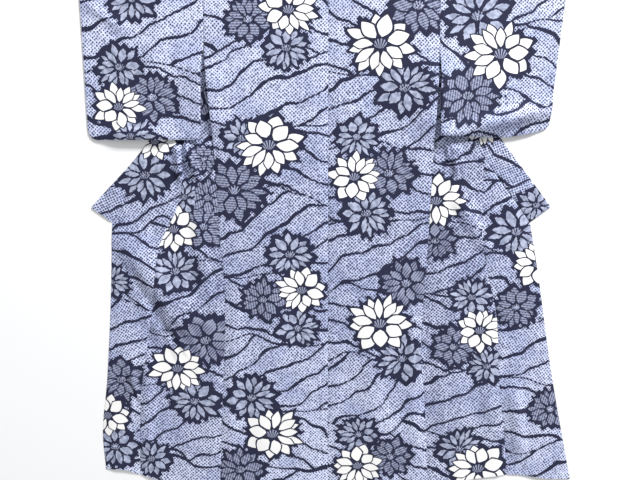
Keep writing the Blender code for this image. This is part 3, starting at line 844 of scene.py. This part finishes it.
class Nodes:
    """Short ways to add shader nodes and join them."""

    def __init__(self, tree):
        self.tree = tree

    def add(self, kind, inputs=(), **settings):
        """Add a shader node, set its properties, and link or set its inputs in order."""
        node = self.tree.nodes.new("ShaderNode" + kind)
        for key, value in settings.items():
            setattr(node, key, value)
        for slot, value in inputs:
            self.put(node.inputs[slot], value)
        return node

    def put(self, socket, value):
        """Link a socket, or set its value."""
        if isinstance(value, bpy.types.NodeSocket):
            self.tree.links.new(value, socket)
        else:
            socket.default_value = value

    def math(self, operation, *values):
        """One math node."""
        return self.add("Math", enumerate(values), operation=operation).outputs[0]

    def plus(self, first, second):
        """Sum of two numbers."""
        return self.math("ADD", first, second)

    def minus(self, first, second):
        """Difference of two numbers."""
        return self.math("SUBTRACT", first, second)

    def times(self, first, second):
        """Product of two numbers."""
        return self.math("MULTIPLY", first, second)

    def above(self, value, level=0.0):
        """1 where a number is above a level, else 0."""
        return self.math("GREATER_THAN", value, level)

    def below(self, value, level):
        """1 where a number is below a level, else 0."""
        return self.math("LESS_THAN", value, level)

    def swing(self, value, size):
        """Turn a number from 0 to 1 into one as far as half the size to either side of 0."""
        return self.times(self.minus(value, 0.5), size)

    def from_half(self, value):
        """How far a number is from the half between its two whole ones."""
        return self.math("ABSOLUTE", self.minus(self.math("FRACT", value), 0.5))

    def vector(self, operation, *values):
        """One vector math node."""
        slots = (0, "Scale" if operation == "SCALE" else 1)
        node = self.add("VectorMath", zip(slots, values), operation=operation)
        return node.outputs["Value" if operation in ("LENGTH", "DISTANCE") else "Vector"]

    def mix(self, kind, slots, values):
        """Mix two values by a share. Slots are the share's, the values' and the result's."""
        node = self.add("Mix", zip(slots, values), data_type=kind)
        return node.outputs[slots[-1]]

    def number(self, *values):
        """Mix two numbers by a share, which comes first."""
        return self.mix("FLOAT", (0, 2, 3, 0), values)

    def vectors(self, *values):
        """Mix two vectors by a share."""
        return self.mix("VECTOR", (0, 4, 5, 1), values)

    def colours(self, *values):
        """Mix two colours by a share."""
        values = [(*value, 1.0) if isinstance(value, tuple) else value for value in values]
        return self.mix("RGBA", (0, 6, 7, 2), values)

    def noise(self, vector, scale, detail=1.0, output="Fac"):
        """Noise from 0 to 1."""
        pairs = (("Vector", vector), ("Scale", scale), ("Detail", detail))
        return self.add("TexNoise", pairs).outputs[output]

    def turned(self, vector, angle):
        """A vector turned about Z."""
        pairs = (("Vector", vector), ("Angle", angle))
        return self.add("VectorRotate", pairs, rotation_type="Z_AXIS").outputs[0]

    def pair(self, x, y):
        """A flat vector of two numbers."""
        return self.add("CombineXYZ", ((0, x), (1, y))).outputs[0]

    def split(self, vector):
        """X and Y of a vector."""
        return self.add("SeparateXYZ", ((0, vector),)).outputs[:2]

    def ramp(self, value, start, end):
        """From 0 at start to 1 at end, softly."""
        node = self.add("MapRange", (("Value", value), ("From Min", start), ("From Max", end)),
                        interpolation_type="SMOOTHSTEP")
        return node.outputs[0]

    def random(self, first, second):
        """Three random numbers that stay the same for the same two numbers."""
        pairs = ((0, self.pair(first, second)),)
        colour = self.add("TexWhiteNoise", pairs, noise_dimensions="2D").outputs["Color"]
        return self.add("SeparateXYZ", ((0, colour),)).outputs


def flower_group():
    """Shape of one flower, from a place in its own frame with radius 1.

    Petals is above 0 inside a petal, fan on the middle's rays and halo in the dark ground around.
    Seed makes flowers differ, and fullness is how wide their petals are.
    """
    group = bpy.data.node_groups.new("flower", "ShaderNodeTree")
    for name, kind in (("Place", "Vector"), ("Seed", "Float"), ("Fullness", "Float")):
        group.interface.new_socket(name, in_out="INPUT", socket_type="NodeSocket" + kind)
    for name in ("Petals", "Fan", "Halo"):
        group.interface.new_socket(name, in_out="OUTPUT", socket_type="NodeSocketFloat")
    n = Nodes(group)
    entry = group.nodes.new("NodeGroupInput")
    leave = group.nodes.new("NodeGroupOutput")
    where, seed, fullness = (entry.outputs[name] for name in ("Place", "Seed", "Fullness"))
    wide = n.vector("MULTIPLY", where, STRETCH)
    x, y = n.split(wide)
    radius = n.vector("LENGTH", wide)
    angle = n.math("ARCTAN2", y, x)
    bend = n.times(n.math("SINE", n.plus(angle, n.times(seed, BEND_BY_SEED))), PETAL_BEND)
    turns = n.plus(n.plus(n.times(angle, PETALS / (2 * math.pi)), seed), bend)
    front = petal_ring(n, turns, radius, seed, fullness, FRONT_RING)
    shifted = n.plus(turns, 0.5)
    other = n.plus(seed, BACK_SEED)
    back = petal_ring(n, shifted, radius, other, fullness, BACK_RING)
    behind = n.minus(back, n.times(n.above(front, -OUTLINE), HIDDEN))
    n.put(leave.inputs["Petals"], n.math("MAXIMUM", front, behind))
    n.put(leave.inputs["Fan"], centre_fan(n, x, y))
    near = n.plus(n.math("MAXIMUM", front, back), HALO)
    first_spikes = petal_ring(n, turns, radius, seed, SPIKES_FULL, FRONT_SPIKES)
    second_spikes = petal_ring(n, shifted, radius, other, SPIKES_FULL, BACK_SPIKES)
    n.put(leave.inputs["Halo"], n.math("MAXIMUM", near, n.math("MAXIMUM", first_spikes, second_spikes)))
    return group


def petal_ring(n, turns, radius, seed, fullness, ring):
    """One ring of pointed petals: above 0 inside a petal, in shares of the flower's radius."""
    index = n.math("FLOOR", turns)
    wrapped = n.math("FLOORED_MODULO", index, PETALS)
    first, second, third = n.random(n.plus(wrapped, 0.5), seed)
    from_middle = n.minus(n.minus(turns, index), 0.5)
    arc = n.times(radius, 2 * math.pi / PETALS)
    sway = n.swing(second, PETAL_SWAY)
    aside = n.math("ABSOLUTE", n.times(n.plus(from_middle, sway), arc))
    end = n.plus(n.swing(first, 2 * ring.vary), ring.tip)
    start = n.plus(n.times(third, BASE_VARY), ring.base)
    along = n.math("DIVIDE", n.minus(radius, start), n.minus(end, start))
    centred = n.math("ABSOLUTE", n.minus(n.times(along, 2.0), 1.0))
    profile = n.minus(1.0, n.math("POWER", centred, PETAL_POINT))
    half = n.times(n.plus(n.times(third, HALF_VARY), ring.half), fullness)
    blade = n.minus(n.times(profile, half), aside)
    to_side = n.times(n.minus(0.5, n.math("ABSOLUTE", from_middle)), arc)
    room = n.minus(to_side, n.minus(PETAL_GAP, n.times(fullness, GAP_BY_FULLNESS)))
    inner = n.math("MINIMUM", blade, room)
    return n.number(n.below(blade, 0.0), inner, blade)


def centre_fan(n, x, y):
    """Thin rays that fan out in the flower's middle."""
    ray = n.math("ARCTAN2", x, n.plus(y, FAN_FOOT))
    stripes = n.minus(n.math("SINE", n.times(ray, FAN_RAYS)), FAN_GAP)
    room = n.minus(FAN_RADIUS, n.vector("LENGTH", n.pair(n.times(x, FAN_WIDE), y)))
    return n.math("MINIMUM", stripes, n.times(room, FAN_EDGE))


def nearest_flower(n, where, flowers):
    """The nearest flower of a list: the place in its own frame, its distance in radii, and what it is."""
    best = None
    for number, flower in enumerate(flowers):
        centre = (flower.across + SEAM_SHIFT, SHOULDER_Y - flower.down, 0.0)
        local = n.vector("SCALE", n.vector("SUBTRACT", where, centre), 1.0 / flower.radius)
        distance = n.vector("LENGTH", local)
        seed = flower.turn / SEED_TURN + SEED_STEP * number
        rest = [seed, float(flower.kind == HATCHED), flower.radius, FULLNESS[flower.kind]]
        if best is None:
            best = [local, distance, *rest]
            continue
        closer = n.below(distance, best[1])
        best = [n.vectors(closer, best[0], local), n.math("MINIMUM", distance, best[1]),
                *[n.number(closer, old, new) for old, new in zip(best[2:], rest)]]
    return best


def draw_flower(n, where, flowers):
    """The nearest flower's shape, its place in its own frame, and the rest of what it is."""
    local, distance, seed, kind, radius, fullness = nearest_flower(n, where, flowers)
    pairs = (("Place", local), ("Seed", seed), ("Fullness", fullness))
    node = n.add("Group", pairs, node_tree=FLOWER)
    petals, fan, halo = (node.outputs[name] for name in ("Petals", "Fan", "Halo"))
    return Drawn(petals, fan, halo, local, distance, seed, kind, radius)


FLOWER = flower_group()


def dot_lattice(n, flat, lean):
    """Centres of the dots' cells, the place within a cell, and a place that steps from cell to cell."""
    warp = n.vector("SUBTRACT", n.noise(flat, WARP_GRAIN, 2.0, "Color"), (0.5, 0.5, 0.5))
    warped = n.vector("ADD", flat, n.vector("SCALE", warp, WARP))
    turn = math.radians(DOT_TURN + lean)
    lattice = n.vector("SCALE", n.turned(warped, turn), 1.0 / DOT_PITCH)
    cell = n.vector("ADD", n.vector("FLOOR", lattice), (0.5, 0.5, 0.0))
    inside = n.vector("MULTIPLY", n.vector("SUBTRACT", lattice, cell), (1.0, 1.0, 0.0))
    back = n.turned(n.vector("SCALE", inside, -STEP_SHARE * DOT_PITCH), -turn)
    return cell, inside, n.vector("ADD", flat, back)


def dots(n, cell, inside, middle, fuller):
    """1 in a dot and 0 between dots. Their sizes and places vary from cell to cell, and they grow where
    shade is painted: towards the middle of the garment's length and on the darker pieces.
    """
    luck = n.random(*n.split(cell))
    size = n.plus(n.times(luck[0], DOT_VARY), DOT_RADIUS + fuller - DOT_VARY / 2)
    size = n.plus(size, n.times(middle, SHADE_DOT_GROWTH))
    aside = n.vector("SCALE", n.vector("SUBTRACT", n.pair(luck[1], luck[2]), (0.5, 0.5, 0.0)), DOT_JITTER)
    beyond = n.minus(n.vector("DISTANCE", inside, aside), size)
    return n.ramp(beyond, DOT_BLEED, -DOT_BLEED)


def stream_lines(n, flat, stepped, run):
    """1 on the navy lines: runs that rise and runs that fall, by turns, with a line between runs."""
    x, y = n.split(n.vectors(STREAM_RAGGED, flat, stepped))
    down = n.minus(SHOULDER_Y, y)
    across = n.minus(x, run.middle + SEAM_SHIFT)
    sway = n.swing(n.noise(stepped, SWAY_GRAIN), SWAY)
    runs = n.plus(n.math("DIVIDE", n.minus(down, run.crest), RUN_LENGTH), sway)
    number = n.math("FLOOR", n.plus(runs, 0.5))
    odd = n.math("FLOORED_MODULO", number, 2.0)
    luck = n.random(n.plus(number, 0.5), run.crest + run.middle)
    lean = n.plus(n.number(odd, RISE, FALL), n.swing(luck[0], LEAN_VARY))
    wave = n.swing(n.noise(stepped, WAVE_GRAIN, 2.0), WAVE)
    level = n.plus(n.plus(down, n.times(lean, across)), wave)
    phase = n.plus(n.math("DIVIDE", level, STREAM_SPACING), luck[1])
    uneven = n.plus(n.times(n.noise(flat, UNEVEN_GRAIN), UNEVEN), UNEVEN_LEAST)
    line = n.below(n.from_half(phase), n.times(uneven, STREAM_HALF / STREAM_SPACING))
    between = n.below(n.from_half(runs), n.times(uneven, BETWEEN_RUNS * STREAM_HALF / RUN_LENGTH))
    return n.math("MAXIMUM", line, between)


def grey_petals(n, flat, grey):
    """Colour of grey petals: a patchy tone, or pale threads that run one way in each flower."""
    turn = n.plus(n.math("SINE", n.times(grey.seed, HATCH_TURNS)), HATCH_TURN)
    hatch_x, _ = n.split(n.turned(grey.local, turn))
    threads = n.times(n.times(hatch_x, grey.radius), 2 * math.pi / HATCH_PITCH)
    hatch = n.colours(n.ramp(n.math("SINE", threads), *HATCH_RAMP), HATCH_DARK, HATCH_PALE)
    patches = n.ramp(n.noise(flat, PATCH_GRAIN, 3.0), *PATCH_RAMP)
    return n.colours(grey.kind, n.colours(patches, PETAL_DEEP, PETAL_BLUE), hatch)


def weave(n, flat, shader):
    """Plain weave: threads both ways, with slubs."""
    threads = []
    for way, scale in THREADS:
        pairs = (("Vector", flat), ("Scale", scale), ("Distortion", THREAD_SWAY), ("Detail", 1.0))
        threads.append(n.add("TexWave", pairs, bands_direction=way).outputs["Fac"])
    slub = n.noise(n.vector("MULTIPLY", flat, SLUB_STRETCH), SLUB_GRAIN, 2.0)
    height = n.plus(n.math("MAXIMUM", *threads), slub)
    pairs = (("Strength", WEAVE_STRENGTH), ("Distance", WEAVE_DEPTH), ("Height", height))
    n.put(shader.inputs["Normal"], n.add("Bump", pairs).outputs[0])
    n.put(shader.inputs["Roughness"], n.plus(n.times(slub, ROUGHNESS_VARY), ROUGHNESS))
    shader.inputs["Sheen Weight"].default_value = SHEEN
    shader.inputs["Specular IOR Level"].default_value = SPECULAR


def print_material(node, run, flowers):
    """Indigo print on white cotton: dots, stream lines and flowers, over the weave."""
    material = bpy.data.materials.new("print_" + node)
    material.use_nodes = True
    n = Nodes(material.node_tree)
    shader = material.node_tree.nodes["Principled BSDF"]
    where = n.add("TexCoord").outputs["Object"]
    flat = n.vector("MULTIPLY", where, (1.0, 1.0, 0.0))
    cell, inside, stepped = dot_lattice(n, flat, run.lean)
    # Painted shade: the pale ground darkens and the dots grow towards the middle of the garment's length
    from_middle = n.math("ABSOLUTE", n.minus(n.split(flat)[1], SHOULDER_Y - DARKEST_DOWN))
    middle = n.ramp(from_middle, DARKEST_REACH, 0.0)

    whites = [flower for flower in flowers if flower.kind == WHITE]
    greys = [flower for flower in flowers if flower.kind != WHITE]
    white = draw_flower(n, flat, whites)
    grey = draw_flower(n, n.vectors(GREY_RAGGED, flat, stepped), greys)
    white_halo = n.minus(draw_flower(n, stepped, whites).halo, WHITE_TRIM)
    halo = n.math("MAXIMUM", white_halo, draw_flower(n, stepped, greys).halo)

    mottle = n.noise(flat, MOTTLE_GRAIN, 2.0)
    ink = n.colours(mottle, NAVY, NAVY_SOFT)
    tone = n.minus(n.ramp(n.noise(flat, TONE_GRAIN, 3.0), *TONE_RAMP), n.times(middle, SHADE_TONE_DROP))
    colour = n.colours(tone, PALE_BLUE, PALE)
    # Each layer covers the ones before it. The middle of a white flower hides the grey one beneath
    layers = (
        (dots(n, cell, inside, middle, run.fuller), n.colours(mottle, NAVY_SOFT, DOT_BLUE)),
        (stream_lines(n, flat, stepped, run), ink),
        (n.above(halo), ink),
        (n.above(grey.petals), grey_petals(n, flat, grey)),
        (n.above(grey.fan), HATCH_PALE),
        (n.above(white.petals, -OUTLINE), ink),
        (n.below(white.distance, WHITE_HIDES), ink),
        (n.above(white.fan), HATCH_PALE),
        (n.above(white.petals), BARE),
    )
    for share, layer in layers:
        colour = n.colours(share, colour, layer)
    n.put(shader.inputs["Base Color"], colour)
    weave(n, flat, shader)
    return material


def dress(piece, node):
    """Give a piece its material and its body, and hide the CAD part it stands for."""
    piece.data.materials.append(print_material(node, STREAMS[node], FLOWERS[node]))
    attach(piece, "root")
    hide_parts(node)


def build_cloth():
    """All nine pieces of cloth."""
    pieces = {}
    makers = (("back", cloth_back), ("front", cloth_front), ("okumi", cloth_okumi), ("sleeve", cloth_sleeve))
    for side in ("left", "right"):
        for part, make in makers:
            node = part + "_" + side
            pieces[node] = make(side)
            dress(pieces[node], node)
    pieces["collar"] = cloth_collar()
    dress(pieces["collar"], "collar")
    return pieces


def build_stage():
    """Pale floor, soft studio light and the camera."""
    mesh = bpy.data.meshes.new("floor")
    corners = ((-1, -1), (1, -1), (1, 1), (-1, 1))
    corners = [(x * FLOOR_REACH, y * FLOOR_REACH, -FLOOR_DROP) for x, y in corners]
    mesh.from_pydata(corners, [], [(0, 1, 2, 3)])
    floor = put_in_scene("floor", mesh)
    material = bpy.data.materials.new("pale_floor")
    material.use_nodes = True
    shader = material.node_tree.nodes["Principled BSDF"]
    shader.inputs["Base Color"].default_value = FLOOR_COLOUR
    shader.inputs["Roughness"].default_value = FLOOR_ROUGHNESS
    mesh.materials.append(material)

    world = bpy.data.worlds.new("studio")
    world.use_nodes = True
    sky = world.node_tree.nodes["Background"]
    sky.inputs["Color"].default_value = SKY_COLOUR
    sky.inputs["Strength"].default_value = SKY_STRENGTH
    bpy.context.scene.world = world

    for row in LAMPS:
        light = bpy.data.lights.new(row.name, "AREA")
        light.size = row.size
        light.energy = row.power
        lamp = put_in_scene(row.name, light)
        lamp.location = row.at
        aim_at(lamp, (0.0, 0.0, 0.0))

    camera = put_in_scene("camera", bpy.data.cameras.new("camera"))
    camera.data.lens = LENS_MM
    camera.data.sensor_width = SENSOR_MM
    camera.location = CAMERA_AT
    camera.rotation_euler = (math.radians(CAMERA_TILT), 0.0, 0.0)
    bpy.context.scene.camera = camera
    bpy.context.scene.view_settings.view_transform = "Standard"


def aim_at(lamp, target):
    """Turn a lamp towards a point."""
    x, y, z = (target[i] - lamp.location[i] for i in range(3))
    lamp.rotation_euler = (math.atan2(math.hypot(x, y), -z), 0.0, math.atan2(-x, y))


pieces = build_cloth()
build_stage()
